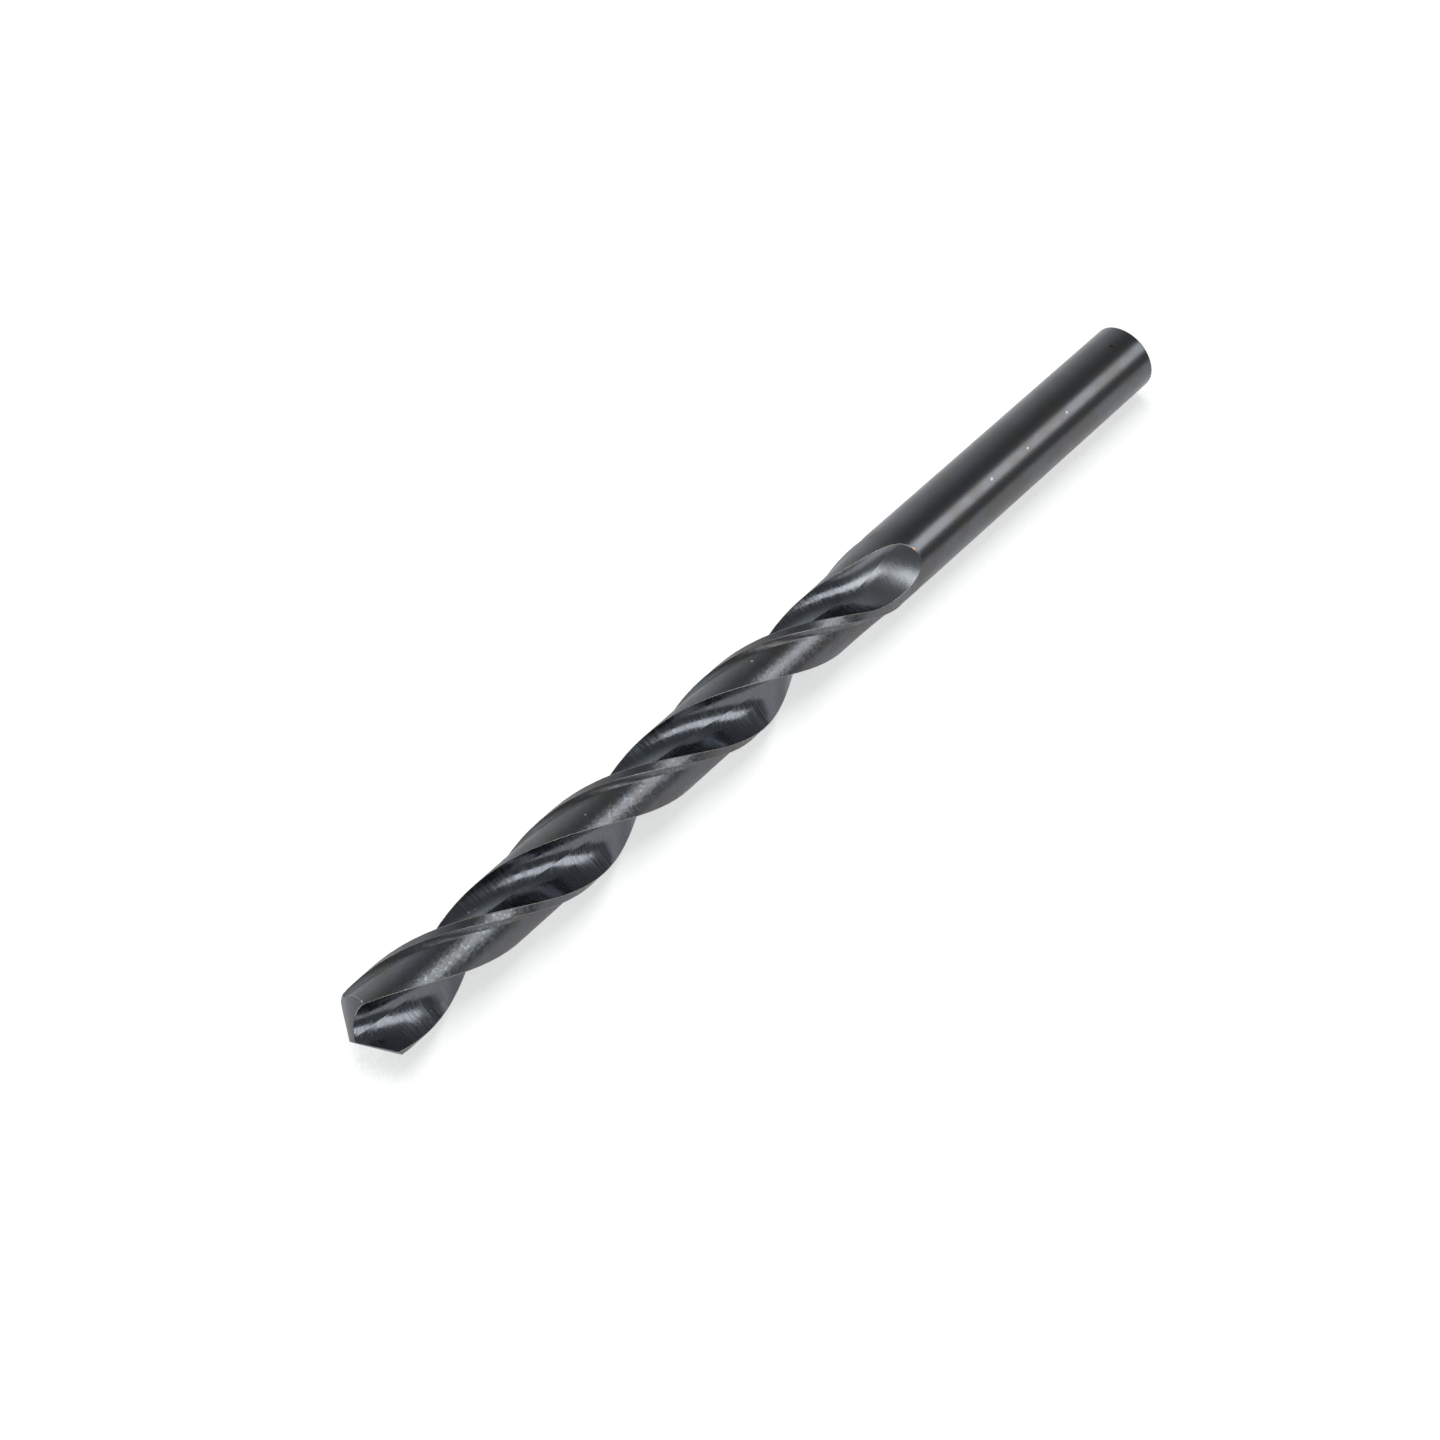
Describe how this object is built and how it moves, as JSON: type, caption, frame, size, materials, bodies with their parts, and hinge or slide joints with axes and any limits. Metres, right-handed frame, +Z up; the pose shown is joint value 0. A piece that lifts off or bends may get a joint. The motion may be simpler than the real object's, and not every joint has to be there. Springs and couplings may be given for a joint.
{
  "type": "twist drill bit",
  "caption": "Twist drill bit with two right-hand helical flutes, a conical point and a plain round shank, for drilling holes.",
  "frame": {"origin": "centre of the flat face at the shank's end", "axes": "+X along the drill's axis, from the point towards the shank's end; +Z up as the drill lies on a table"},
  "size_m": [0.117, 0.008, 0.008],
  "materials": {
    "tool_steel": "black oxide, satin"
  },
  "bodies": {
    "root": {"twist_drill": "tool_steel"}
  },
  "joints": []
}
